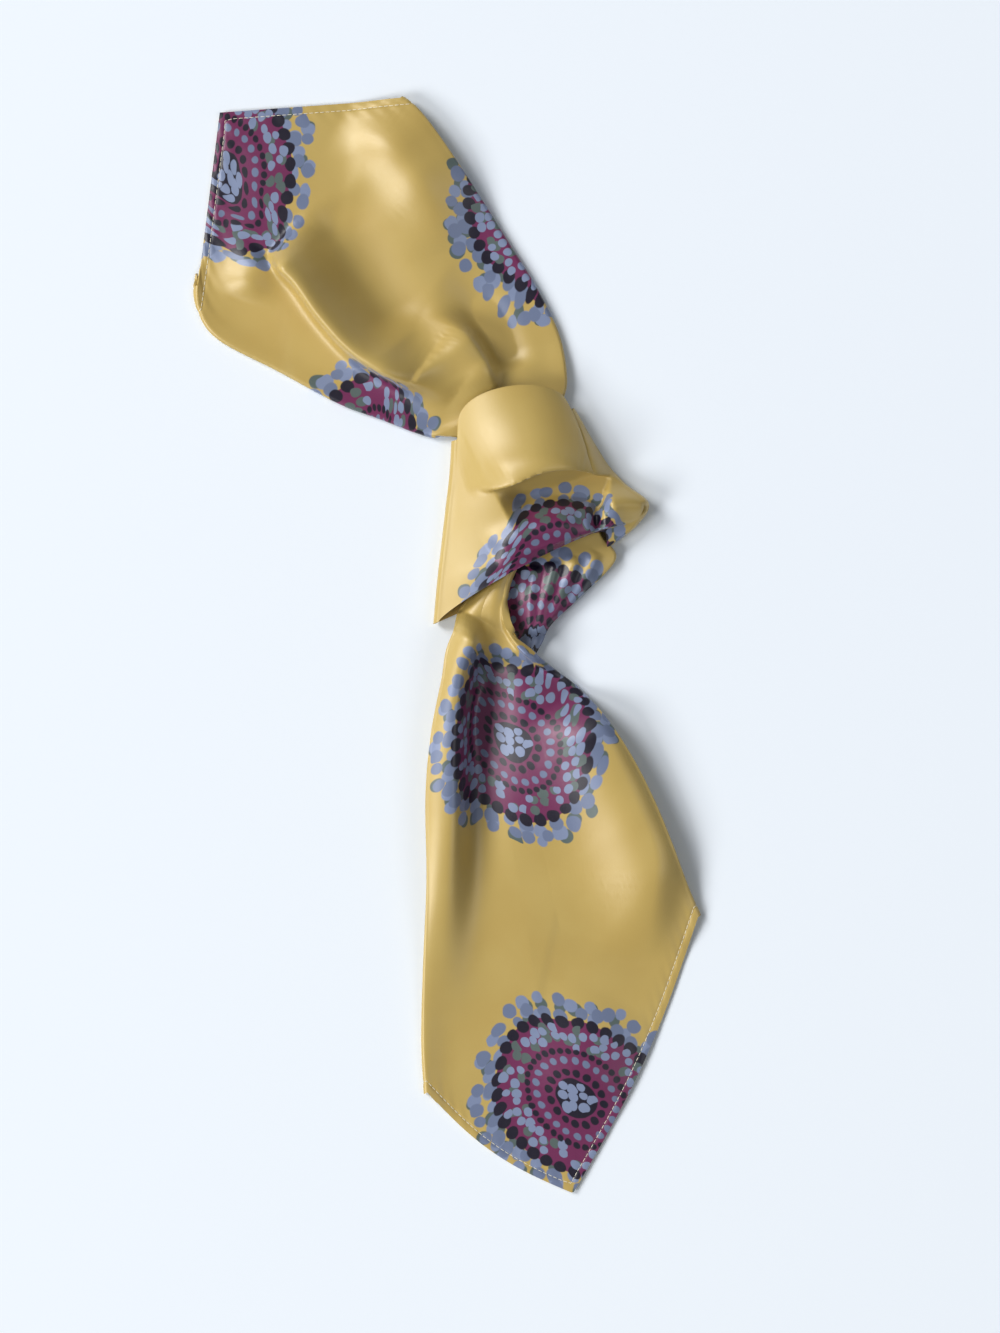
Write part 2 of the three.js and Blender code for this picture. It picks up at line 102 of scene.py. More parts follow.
# Heights that a fold's underside can lie at
SOLID_CLOTH = 1.5  # one layer of the solids' thicker cloth, which these heights follow
REST = {"floor": 0, "wrap": SOLID_CLOTH + REST_GAP, "gather": 8.3}

# Stitches
STITCH_PITCH = 2.8
STITCH_LENGTH = 2.15
STITCH_INSET = 0.86  # share of the hem's width
STITCH_SINK = 0.098  # how deep a stitch's middle lies below the cloth's face
STITCH_ENDS = (0.16, 0.84)  # the part of a half round that its taper follows
THREAD = 0.34
THREAD_FLATNESS = 0.7  # its height as a share of its width
THREAD_RINGS = 5
THREAD_SIDES = 6

# Picture: 1000 by 1333 pixels of this size, with its middle here
PIXEL = 0.515
PICTURE_HEIGHT = 1333 * PIXEL
PICTURE_MIDDLE = (27.2, -11.5)
CAMERA_HEIGHT = 1800
SENSOR = 36

# Studio, in metres
FLOOR_HALF = 3.0
FLOOR_DROP = 0.0002
FLOOR_TONES = ((0.86, 0.92, 1.0, 1), (0.88, 0.94, 1.0, 1))
LAMP_COLOUR = (1.0, 0.99, 0.98)
SKY_COLOUR = (0.90, 0.95, 1.0, 1)
SKY_STRENGTH = 0.18


def lerp(a, b, u):
    return a + (b - a) * u


def smoothstep(x, low, high):
    u = np.clip((x - low) / (high - low), 0, 1)
    return u * u * (3 - 2 * u)


def between_rows(values, at):
    """A smooth value between the rows of a table, which passes through each row's own."""
    last = len(values) - 1
    i = np.minimum(at.astype(int), last - 1)
    u = at - i
    a, b, c, d = (values[np.clip(i + k, 0, last)] for k in (-1, 0, 1, 2))
    return b + 0.5 * u * (c - a + u * (2 * a - 5 * b + 4 * c - d + u * (3 * (b - c) + d - a)))


def eased_rows(values, at):
    """The same, without running past the rows' own values."""
    i = np.minimum(at.astype(int), len(values) - 2)
    return lerp(values[i], values[i + 1], smoothstep(at - i, 0, 1))


def arch(share):
    """An arch over a section, from 0 at its sides to 1."""
    return 1 - np.abs(2 * share - 1) ** ARCH_POWER


def unit(v):
    return v / np.maximum(np.linalg.norm(v, axis=-1, keepdims=True), 1e-9)


def cross2(a, b):
    return a[..., 0] * b[..., 1] - a[..., 1] * b[..., 0]


class FoldLine:
    """The line of a fold's crest, with its height and its reach to the left and right of the line."""

    STEPS = 36
    FADE = (0.25, 0.25)

    def __init__(self, fold, width, length):
        self.height = fold["height"]
        self.left = fold["left"]
        self.right = fold["right"]
        self.lean = fold.get("lean", 0)
        self.fade = fold.get("fade", self.FADE)
        points = np.array(fold["line"], float) * (width, length)
        at = np.linspace(0, len(points) - 1, self.STEPS + 1)
        self.line = np.stack([between_rows(points[:, k], at) for k in (0, 1)], axis=-1)
        self.ways = unit(np.gradient(self.line, axis=0))

    def nearest(self, points):
        """The share of the line passed, the way off it, positive on its right, and where right is."""
        best = np.full(points.shape[:-1], np.inf)
        along = np.zeros(best.shape)
        off = np.zeros(best.shape)
        way = np.zeros(points.shape)
        for i in range(self.STEPS):
            step = self.line[i + 1] - self.line[i]
            reach = points - self.line[i]
            u = np.clip(reach @ step / (step @ step), 0, 1)
            gap = np.linalg.norm(reach - u[..., None] * step, axis=-1)
            side = np.where(cross2(reach, step) >= 0, 1, -1)
            closer = gap < best
            best = np.where(closer, gap, best)
            along = np.where(closer, (i + u) / self.STEPS, along)
            off = np.where(closer, side * gap, off)
            here = lerp(self.ways[i], self.ways[i + 1], u[..., None])
            way = np.where(closer[..., None], here, way)
        right = np.stack([way[..., 1], -way[..., 0]], axis=-1)
        return along, off, right

    def swell(self, points):
        """How much of the fold there is at each point, and how far it leans there."""
        along, off, right = self.nearest(points)
        ends = smoothstep(along, 0, self.fade[0]) * smoothstep(1 - along, 0, self.fade[1])
        before = off + self.lean
        reach = np.where(before < 0, self.left, self.right)
        swell = ends * np.exp(-((before / reach) ** 2))
        return self.height * swell, self.lean * swell[..., None] * right


class Ripples:
    """Faint waves that cloth keeps when it lies loose."""

    COUNT = 14

    def __init__(self, seed, height, shortest, longest):
        rng = np.random.default_rng(seed)
        lengths = np.exp(rng.uniform(math.log(shortest), math.log(longest), self.COUNT))
        angles = rng.uniform(-0.5, 0.5, self.COUNT) * math.pi
        self.waves = np.stack([np.cos(angles), np.sin(angles)]) * (2 * math.pi / lengths)
        self.phases = rng.uniform(0, 2 * math.pi, self.COUNT)
        self.sizes = height * lengths / lengths.mean() * math.sqrt(2 / self.COUNT)

    def height(self, points):
        return np.sin(points @ self.waves + self.phases) @ self.sizes


class Drape:
    """A piece of draped cloth: its side folds and heights come from rows, its ridges from folds."""

    HALVINGS = 12

    def __init__(
        self, width, length, rows, folds, start, turn,
        tip=None, fold=SOFT_FOLD, mouths=(), ripples=(),
    ):
        self.width = width
        self.length = length
        self.start = start
        self.turn = turn
        self.fold = fold
        self.mouths = mouths
        self.ripples = ripples
        half = width / 2
        self.folds = [FoldLine(f, half, length) for f in folds]

        def column(name, otherwise=0.0):
            return np.array([row.get(name, otherwise) for row in rows])

        self.left = (column("left") * half, column("left_out") * length)
        self.right = (column("right") * half, column("right_out") * length)
        self.point = column("point")
        self.crown = column("crown")
        lies_on = zip(*(row.get("on", ("floor", "floor")) for row in rows))
        self.lifts = [np.array([REST[name] for name in names], float) for names in lies_on]
        self.tip = tip and {**tip, "at": np.array([tip["across"] * half, tip["out"] * length])}
        self.last = len(rows) - 1

    def side(self, edges, at):
        return np.stack([between_rows(edge, at) for edge in edges], axis=-1)

    def width_at(self, at):
        return np.linalg.norm(self.side(self.left, at) - self.side(self.right, at), axis=-1)

    def lead(self, share):
        """How far the point of the end leads the straight line between its corners."""
        zero = np.zeros(1)
        left = self.side(self.left, zero)[0]
        right = self.side(self.right, zero)[0]
        s = self.tip["share"]
        tip = self.tip["at"]
        before = share < s
        u = np.where(before, share / s, (share - s) / (1 - s))[..., None]
        start = np.where(before[..., None], left, tip)
        leg = np.where(before[..., None], tip, right) - start
        bow = np.where(before, self.tip["left_bow"], self.tip["right_bow"])[..., None]
        outwards = np.stack([-leg[..., 1], leg[..., 0]], axis=-1) * bow * np.sin(math.pi * u)
        return start + leg * u + outwards - lerp(left, right, share[..., None])

    def plan(self, at, share):
        at = np.broadcast_to(at, share.shape)
        flat = lerp(self.side(self.left, at), self.side(self.right, at), share[..., None])
        if self.tip:
            flat = flat + self.lead(share) * between_rows(self.point, at)[..., None]
        return flat

    def roll(self, at):
        """The share of the width that a side fold's bulge takes."""
        return self.fold["bulge"] / self.width_at(at)

    def inner(self, at, share):
        """The share of the way from the left side fold's bulge to the right one's."""
        roll = self.roll(at)
        return np.clip((share - roll) / (1 - 2 * roll), 0, 1)

    def overhang(self, at, share):
        """How far a mouth's front edge runs out beyond its back edge."""
        u = self.inner(at, share)
        runs = np.zeros(share.shape)
        for mouth in self.mouths:
            near = smoothstep(1 - np.abs(at - mouth["row"]) / mouth["rows"], 0, 1)
            runs += mouth["out"] * near * u ** mouth["left"] * (1 - u) ** mouth["right"]
        return self.length * runs

    def lift(self, at, share):
        lifts = [eased_rows(side, at) for side in self.lifts]
        return lerp(lifts[0], lifts[1], self.inner(at, share))

    def flap(self, at):
        """How far in the folded-back flaps reach, as a share of the width."""
        zero = np.zeros(at.shape)
        corner = np.linalg.norm(self.side(self.left, zero) - self.side(self.left, at), axis=-1)
        return np.minimum(MOST_FLAP, (2 * FOLD_HEIGHT + corner) / self.width_at(at))

    def spacing(self, at, share):
        """Between the middles of the front and the back layer."""
        inside = np.minimum(share, 1 - share) * self.width_at(at)
        closed = CLOTH + LAYER_GAP
        return closed + (self.fold["height"] - closed) * np.exp(-((inside / self.fold["reach"]) ** 2))

    def front(self, at, share):
        """The middle of the front layer."""
        at = np.broadcast_to(at, share.shape)
        flat = self.plan(at, share)
        flat[..., 1] += self.overhang(at, share)
        spread = flat.copy()
        rise = eased_rows(self.crown, at) * KNOT_CROWN * arch(self.inner(at, share))
        for line in self.folds:
            height, lean = line.swell(flat)
            rise += height
            spread += lean
        calm = smoothstep(np.minimum(share, 1 - share), 0, CALM_EDGE)
        for ripple in self.ripples:
            rise += calm * ripple.height(flat)
        low = CLOTH / 2 + self.spacing(at, share)
        if self.tip:
            single = smoothstep(np.minimum(share, 1 - share) - self.flap(at), 0, FLAP_STEP)
            low = lerp(low, CLOTH / 2 + HEM_GAP + HEM_FOLD, single)
        above = (rise + np.sqrt(rise * rise + HOLLOW_SOFTNESS**2) - HOLLOW_SOFTNESS) / 2
        height = self.lift(at, share) + low + np.maximum(0, above)
        return np.concatenate([spread, height[..., None]], axis=-1)

    def upwards(self, at, share):
        """The way out of the front layer."""
        at = np.broadcast_to(at, share.shape)
        rows = [self.front(np.clip(at + k, 0, self.last), share) for k in (NUDGE, -NUDGE)]
        shares = [self.front(at, np.clip(share + k, 0, 1)) for k in (NUDGE, -NUDGE)]
        return unit(np.cross(rows[0] - rows[1], shares[0] - shares[1]))

    def back(self, at, share):
        """The middle of the back layer."""
        floor = CLOTH / 2 + self.lift(at, share)
        if self.fold["open"]:
            return np.concatenate([self.plan(at, share), floor[..., None]], axis=-1)
        below = self.front(at, share) - self.upwards(at, share) * self.spacing(at, share)[..., None]
        below[..., 2] = np.maximum(below[..., 2], floor)
        return below

    def place(self, at, share, turn):
        """Places on the cloth: turn is -1 on the back, 1 on the front and between them round a side fold."""
        at = np.broadcast_to(at, share.shape)
        places = np.empty((*share.shape, 3))
        on = turn == 1
        places[:, on] = self.front(at[:, on], share[:, on])
        off = ~on
        back = self.back(at[:, off], share[:, off])
        front = self.front(at[:, off], share[:, off])
        angle = turn[off] * math.pi / 2
        outwards = unit(self.side(self.left, at[:, off]) - self.side(self.right, at[:, off]))
        outwards = outwards * np.where(share[:, off] < 0.5, 1, -1)[..., None] * self.fold["bulge"]
        round_fold = lerp(back, front, ((1 + np.sin(angle)) / 2)[:, None])
        round_fold[..., :2] += outwards * np.cos(angle)[:, None]
        places[:, off] = round_fold
        return places

    def section(self, at, steps):
        """Shares and turns along each section: in along the left flap, over the front and back again."""
        at = at[:, None]
        roll = self.roll(at)
        inner = 0.5 if self.fold["open"] else self.flap(at)
        u_flap = np.arange(FLAP_STEPS) / FLAP_STEPS
        u_roll = np.arange(ROLL_STEPS) / ROLL_STEPS
        u_front = np.arange(steps) / steps
        last = np.ones(0 if self.fold["open"] else 1)
        wide = np.ones(at.shape)
        shares = [
            lerp(inner * wide, roll, u_flap),
            roll * np.ones(ROLL_STEPS),
            lerp(roll, 1 - roll, u_front),
            (1 - roll) * np.ones(ROLL_STEPS),
            1 - lerp(roll, inner * wide, u_flap),
            1 - inner * wide * last,
        ]
        turns = [
            -np.ones(FLAP_STEPS),
            2 * u_roll - 1,
            np.ones(steps),
            1 - 2 * u_roll,
            -np.ones(FLAP_STEPS),
            -last,
        ]
        return np.concatenate(shares, axis=1), np.concatenate(turns)

    def hem_at(self, share):
        """The row position of the line where the end's hem stops."""
        s = self.tip["share"]
        before = self.hem_width(np.minimum(share, s - MITRE))
        after = self.hem_width(np.maximum(share, s))
        return lerp(before, after, smoothstep(share, s - MITRE, s + MITRE))

    def hem_width(self, share):
        """The hem's width at each share, in row positions, found by halving the reach."""
        edge = self.plan(np.zeros(share.shape), share)
        leg = unit(self.plan(np.zeros(share.shape), share + NUDGE) - edge)
        near = np.zeros(share.shape)
        far = np.full(share.shape, 2.0)
        for _ in range(self.HALVINGS):
            middle = (near + far) / 2
            inside = np.abs(cross2(leg, self.plan(middle, share) - edge)) < HEM_WIDTH
            near = np.where(inside, middle, near)
            far = np.where(inside, far, middle)
        return near

    def to_part(self, points):
        """From the piece's own frame to the part's, in metres."""
        angle = math.radians(self.turn)
        c = math.cos(angle)
        s = math.sin(angle)
        x = points[..., 0]
        y = points[..., 1]
        moved = np.stack([
            c * x - s * y + self.start[0] - MIDDLE[0],
            s * x + c * y + self.start[1] - MIDDLE[1],
            points[..., 2],
        ], axis=-1)
        return moved * MM


# Tails: each row is a line across, from the end to the knot. Its two ends, on the side folds, are shares of
# the half width and of the length; point is how much of the end's point it has, crown how much of the knot's
# arch, and on what its left and right side folds lie on, the floor unless named.
# Each fold has its crest's line, as such shares, its height, its reach to the left and right of the line and
# how far it leans over to the right; fade is how much of the line it takes to rise and to sink.
UPPER_TAIL = Drape(
    width=UPPER_WIDTH, length=UPPER_LENGTH, start=UPPER_START, turn=UPPER_TURN,
    tip={"share": 0.5, "across": 0, "out": 1, "left_bow": 0, "right_bow": 0},
    rows=[
        dict(left=-0.943, left_out=0.733, right=0.986, right_out=0.723, point=1, crown=0.08),
        dict(left=-1.04, left_out=0.69, right=1.006, right_out=0.68, point=0.9, crown=0.16),
        dict(left=-1.075, left_out=0.61, right=0.985, right_out=0.6, point=0.7, crown=0.26),
        dict(left=-0.922, left_out=0.458, right=0.91, right_out=0.45, point=0.45, crown=0.38),
        dict(left=-0.773, left_out=0.306, right=0.83, right_out=0.317, point=0.25, crown=0.45),
        dict(left=-0.644, left_out=0.216, right=0.752, right_out=0.187, point=0.1, crown=0.48),
        dict(left=-0.515, left_out=0.125, right=0.641, right_out=0.068, crown=0.45),
        dict(left=-0.425, left_out=0.089, right=0.47, right_out=-0.02, crown=0.45, on=("wrap", "wrap")),
        dict(left=-0.325, left_out=0.044, right=0.335, right_out=-0.055, crown=0.4, on=("wrap", "wrap")),
        dict(left=-0.328, left_out=-0.02, right=0.19, right_out=-0.105, crown=0.3, on=("wrap", "wrap")),
    ],
    folds=[
        dict(
            line=[(-0.46, 0.68), (-0.43, 0.585), (-0.47, 0.48), (-0.47, 0.36), (-0.37, 0.23), (-0.28, 0.12)],
            height=23, left=14, right=7, lean=8, fade=(0.15, 0.3),
        ),
        dict(line=[(0.1, 0.68), (0.0, 0.55), (-0.09, 0.42), (-0.15, 0.31)], height=-5, left=18, right=14),
        dict(
            line=[(0.6, 0.8), (0.7, 0.68), (0.68, 0.52), (0.54, 0.38)],
            height=12, left=26, right=18, fade=(0.45, 0.45),
        ),
        dict(
            line=[(0.02, 0.04), (0.1, 0.11), (0.15, 0.18), (0.16, 0.25), (0.08, 0.33)],
            height=13, left=20, right=8, lean=4, fade=(0.35, 0.45),
        ),
        dict(
            line=[(0.33, 0.36), (0.38, 0.26), (0.34, 0.17), (0.22, 0.08)],
            height=-8, left=10, right=15, fade=(0.5, 0.2),
        ),
        dict(line=[(-0.78, 0.64), (-0.6, 0.67), (-0.43, 0.68)], height=5, left=11, right=11, fade=(0.4, 0.4)),
    ],
    ripples=[Ripples(seed=3, height=0.12, shortest=60, longest=120)],
)

LOWER_TAIL = Drape(
    width=LOWER_WIDTH, length=LOWER_LENGTH, start=LOWER_START, turn=HALF_TURN,
    tip={"share": 0.627, "across": -0.515, "out": 1, "left_bow": 0.035, "right_bow": 0.07},
    rows=[
        dict(left=-1.297, left_out=0.51, right=0.409, right_out=0.817, point=1, crown=0.05),
        dict(left=-1.235, left_out=0.468, right=0.428, right_out=0.725, point=0.85, crown=0.1),
        dict(left=-1.12, left_out=0.38, right=0.428, right_out=0.594, point=0.55, crown=0.2),
        dict(left=-1, left_out=0.3, right=0.428, right_out=0.454, point=0.3, crown=0.35),
        dict(left=-0.86, left_out=0.226, right=0.44, right_out=0.314, point=0.15, crown=0.5),
        dict(left=-0.68, left_out=0.155, right=0.409, right_out=0.2, point=0.05, crown=0.6),
        dict(left=-0.45, left_out=0.093, right=0.345, right_out=0.1, crown=0.65),
        dict(left=-0.3, left_out=0.05, right=0.31, right_out=0.045, crown=0.6, on=("gather", "floor")),
        dict(left=-0.12, left_out=0.003, right=0.23, right_out=-0.003, crown=0.5, on=("gather", "wrap")),
        dict(left=-0.112, left_out=-0.052, right=0.137, right_out=-0.038, crown=0.4, on=("gather", "wrap")),
        dict(left=-0.174, left_out=-0.101, right=0.031, right_out=-0.07, crown=0.3, on=("gather", "wrap")),
    ],
    folds=[
        dict(
            line=[
                (0.27, 0.8), (0.27, 0.6), (0.26, 0.45), (0.25, 0.3),
                (0.23, 0.2), (0.2, 0.11), (0.14, 0.05), (0.05, 0),
            ],
            height=17, left=19, right=14, lean=4, fade=(0.4, 0.12),
        ),
        dict(
            line=[(-0.03, -0.05), (0.03, 0.02), (0.09, 0.09), (0.12, 0.18), (0.12, 0.3), (0.1, 0.48)],
            height=-14, left=17, right=7, fade=(0.5, 0.45),
        ),
        dict(
            line=[(-0.07, -0.04), (-0.1, 0.01), (-0.19, 0.05), (-0.34, 0.085), (-0.51, 0.12)],
            height=6, left=5, right=3, lean=3, fade=(0.2, 0.35),
        ),
        dict(
            line=[(-0.5, 0.12), (-0.7, 0.2), (-0.9, 0.32), (-1.02, 0.43), (-0.95, 0.6)],
            height=15, left=15, right=28,
        ),
        dict(line=[(-0.5, 0.85), (-0.62, 0.76), (-0.8, 0.66)], height=4, left=22, right=22, fade=(0.4, 0.4)),
    ],
    ripples=[Ripples(seed=5, height=0.25, shortest=60, longest=130)],
)

# The knot: the rows of the wrap run from its lower mouth to its upper one. Its mouths each have their row,
# over how many rows they run out, how far as a share of the length, and how soon from the left and right.
WRAP = Drape(
    width=KNOT_WIDTH, length=KNOT_LENGTH, start=KNOT_MOUTH, turn=HALF_TURN,
    fold={"height": KNOT_SIDE, "bulge": KNOT_BULGE, "reach": math.inf, "open": True},
    mouths=[
        {"row": 0, "rows": 1.5, "out": -0.13, "left": 0.15, "right": 0.6},
        {"row": 5, "rows": 1.8, "out": -0.27, "left": 0.5, "right": 0.25},
    ],
    rows=[
        dict(left=-0.92, left_out=0.611, right=0.86, right_out=0.956, crown=0.75),
        dict(left=-1.16, left_out=0.528, right=0.82, right_out=0.764, crown=0.95),
        dict(left=-1.28, left_out=0.432, right=0.78, right_out=0.611, crown=1),
        dict(left=-1.03, left_out=0.336, right=0.74, right_out=0.458, crown=1),
        dict(left=-0.8, left_out=0.179, right=0.7, right_out=0.306, crown=0.9),
        dict(left=-0.54, left_out=0.013, right=0.68, right_out=0.162, crown=0.75),
    ],
    folds=[
        dict(
            line=[
                (0.5, 0.44), (0.28, 0.41), (0.04, 0.35), (-0.25, 0.3),
                (-0.6, 0.29), (-0.88, 0.33), (-1.05, 0.38),
            ],
            height=10, left=14, right=6, lean=11, fade=(0.35, 0.2),
        ),
        dict(
            line=[(0.18, 0.46), (-0.05, 0.41), (-0.35, 0.38), (-0.7, 0.36), (-0.9, 0.37)],
            height=-14, left=7, right=11, fade=(0.25, 0.2),
        ),
        dict(line=[(0.4, 0.25), (0.1, 0.2), (-0.3, 0.17), (-0.7, 0.2)], height=1.2, left=4, right=5),
        dict(line=[(0.3, 0.66), (-0.1, 0.56), (-0.6, 0.49)], height=3.5, left=8, right=7),
        dict(line=[(-0.84, 0.46), (-1.02, 0.43), (-1.24, 0.44)], height=6, left=8, right=7, fade=(0.3, 0.1)),
        dict(line=[(-0.86, 0.38), (-0.76, 0.47), (-0.78, 0.57)], height=-6, left=3, right=3),
    ],
    ripples=[Ripples(seed=8, height=0.12, shortest=30, longest=60)],
)

# The pleats of the gathered stretch, which run together where it goes under the lower tail
PLEATS = [
    dict(
        line=[(-0.15 - 0.21 * k, 0.7 - 0.02 * k), (-0.11 - 0.145 * k, 0.85), (-0.09 - 0.04 * k, 1.026)],
        height=2.6, left=3, right=3.5, fade=(0.15, 0.3),
    )
    for k in range(4)
]

GATHER = Drape(
    width=KNOT_WIDTH, length=KNOT_LENGTH, start=KNOT_MOUTH, turn=HALF_TURN,
    rows=[
        dict(left=-0.11, left_out=1.13, right=0.08, right_out=1.13, crown=0.15),
        dict(left=-0.22, left_out=1.043, right=0.02, right_out=1.034, crown=0.2),
        dict(left=-0.33, left_out=0.956, right=0.07, right_out=0.973, crown=0.3),
        dict(left=-0.58, left_out=0.851, right=0.13, right_out=0.895, crown=0.4),
        dict(left=-0.83, left_out=0.746, right=0.16, right_out=0.816, crown=0.5, on=("wrap", "wrap")),
        dict(left=-0.96, left_out=0.659, right=0.16, right_out=0.742, crown=0.5, on=("wrap", "wrap")),
        dict(left=-0.82, left_out=0.572, right=0.14, right_out=0.668, crown=0.4, on=("wrap", "wrap")),
        dict(left=-0.72, left_out=0.48, right=0.12, right_out=0.611, crown=0.35, on=("wrap", "wrap")),
    ],
    folds=PLEATS,
)


def outward_normals(points, ring=False):
    """Normals of a grid of points, rows by places."""
    down = np.gradient(points, axis=0)
    if ring:
        across = np.roll(points, -1, axis=1) - np.roll(points, 1, axis=1)
    else:
        across = np.gradient(points, axis=1)
    return unit(np.cross(down, across))


def sheet_mesh(name, points, thickness, uv, ring=False):
    """Closes a grid of points into a thin solid, thickness through."""
    n, m = points.shape[:2]
    normals = outward_normals(points, ring)
    sides = [points + normals * thickness * half for half in (0.5, -0.5)]
    vertices = np.concatenate([side.reshape(-1, 3) for side in sides])
    vertices[:, 2] = np.maximum(vertices[:, 2], 0)
    index = np.arange(n * m).reshape(n, m)
    right = np.roll(index, -1, axis=1) if ring else index[:, 1:]
    left = index if ring else index[:, :-1]
    front = np.stack([left[:-1], left[1:], right[1:], right[:-1]], axis=-1).reshape(-1, 4)
    back = front[:, ::-1] + n * m

    def rim(a, b):
        return np.stack([a, b, b + n * m, a + n * m], axis=-1)

    faces = [front, back, rim(left[0], right[0]), rim(right[-1], left[-1])]
    if not ring:
        faces += [rim(index[1:, 0], index[:-1, 0]), rim(index[:-1, -1], index[1:, -1])]
    mesh = bpy.data.meshes.new(name)
    mesh.from_pydata(vertices.tolist(), [], np.concatenate(faces).tolist())
    both = np.concatenate([uv.reshape(-1, 2)] * 2)
    corners = np.empty(len(mesh.loops), dtype=np.int32)
    mesh.loops.foreach_get("vertex_index", corners)
    layer = mesh.uv_layers.new(name="cloth")
    layer.data.foreach_set("uv", both[corners].astype(np.float32).ravel())
    mesh.shade_smooth()
    mesh.set_sharp_from_angle(angle=math.radians(SHARP_EDGE))
    return mesh


def cloth_uv(points):
    """Each point's place on the flat cloth in metres, from its lengths across and out over the relief."""
    middle = points.shape[1] // 2
    steps = np.diff(points, axis=1)
    across = np.hypot(steps[..., 0], steps[..., 2])
    u = np.concatenate([np.zeros((len(points), 1)), np.cumsum(across, axis=1)], axis=1)
    u += points[:, middle:middle + 1, 0] - u[:, middle:middle + 1]
    steps = np.diff(points, axis=0)[::-1]
    out = np.hypot(steps[..., 1], steps[..., 2])
    v = np.concatenate([np.zeros((1, points.shape[1])), np.cumsum(out, axis=0)], axis=0)[::-1]
    v += points[-1:, :, 1]
    return np.stack([u, v], axis=-1) * MM


def add_piece(name, mesh, material, nodes):
    piece = bpy.data.objects.new(name, mesh)
    bpy.context.scene.collection.objects.link(piece)
    mesh.materials.append(material)
    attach(piece, "root")
    if nodes:
        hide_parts(*nodes)
    return piece


def mound(x, middle, reach):
    """A smooth mound from 0 up to 1 at its middle."""
    return np.exp(-(((x - middle) / reach) ** 2))


def hem_relief(drape, at, share, points):
    """The cloth raised over its turned hem, pressed in at the stitches and puckered between them."""
    inwards = np.broadcast_to(at, share.shape) / drape.hem_at(share)
    edge = np.linalg.norm(np.diff(points[:1], axis=1), axis=-1)
    along = np.concatenate([[0], np.cumsum(edge)])
    pressed = -STITCH_PRESS * mound(inwards, STITCH_INSET, 0.09)
    full = HEM_FULLNESS * mound(inwards, 0.45, 0.3)
    wave = np.sin(2 * math.pi * along / PUCKER_LENGTH + 1.7 * np.sin(along / PUCKER_DRIFT))
    pucker = PUCKER * wave * mound(inwards, 0.9, 0.7)
    return pressed + full + pucker


def make_tail(name, drape, material, rows, steps, nodes):
    """A tail's cloth, from the edge of its hems into the knot, with closer rows over the hems."""
    over_hem = np.linspace(0, BESIDE_HEM, HEM_ROWS, endpoint=False)
    rest = np.linspace(0, 1, rows)
    start = drape.hem_at(np.array([0.5]))[0]
    at = np.concatenate([over_hem * start, lerp(BESIDE_HEM * start, drape.last, rest)])
    share, turn = drape.section(np.minimum(at, drape.last), steps)
    hem = drape.hem_at(share)
    hem_rows = over_hem[:, None] * hem[:HEM_ROWS]
    inner_rows = lerp(BESIDE_HEM * hem[HEM_ROWS:], drape.last, rest[:, None])
    row = np.concatenate([hem_rows, inner_rows])
    points = drape.place(row, share, turn)
    points = points + outward_normals(points) * hem_relief(drape, row, share, points)[..., None]
    mesh = sheet_mesh(name, drape.to_part(points), CLOTH * MM, cloth_uv(points))
    return add_piece(name, mesh, material, nodes)


def make_hem(name, drape, material, start, end, node, steps=150):
    """The turned strip of a hem, under the cloth's edge and pressed along with it."""
    share, turn = drape.section(np.array([0.0]), steps)
    keep = (share[0] >= start) & (share[0] <= end)
    across = np.linspace(TURNED_START, 1, TURNED_ROWS)[:, None]
    row = across * drape.hem_at(share)
    share = np.repeat(share, TURNED_ROWS, axis=0)
    points = drape.place(row, share, turn)
    below = CLOTH / 2 + HEM_GAP + HEM_FOLD / 2
    offset = hem_relief(drape, row, share, points) - below
    points = (points + outward_normals(points) * offset[..., None])[:, keep]
    mesh = sheet_mesh(name, drape.to_part(points), HEM_FOLD * MM, cloth_uv(points))
    return add_piece(name, mesh, material, [node])


def stitch_vertices(line, up):
    """Rings of thread along a line on the cloth's middle, thinner towards its ends."""
    beside = np.cross(unit(np.gradient(line, axis=0)), up)
    middle = line + up * (CLOTH / 2 - STITCH_SINK)
    u = np.linspace(0, 1, THREAD_RINGS)
    thick = THREAD / 2 * np.sin(math.pi * lerp(*STITCH_ENDS, u)) ** 0.5
    angle = 2 * math.pi * np.arange(THREAD_SIDES)[:, None] / THREAD_SIDES
    away = np.cos(angle) * beside[:, None] + THREAD_FLATNESS * np.sin(angle) * up[:, None]
    return (middle[:, None] + thick[:, None, None] * away).reshape(-1, 3)


def stitch_faces(first):
    """The faces of one stitch, whose vertices start at first."""
    rings = first + np.arange(THREAD_RINGS * THREAD_SIDES).reshape(THREAD_RINGS, THREAD_SIDES)
    beside = np.roll(rings, -1, axis=1)
    sides = np.stack([rings[:-1], rings[1:], beside[1:], beside[:-1]], axis=-1).reshape(-1, 4)
    return [*sides.tolist(), rings[0].tolist(), rings[-1, ::-1].tolist()]


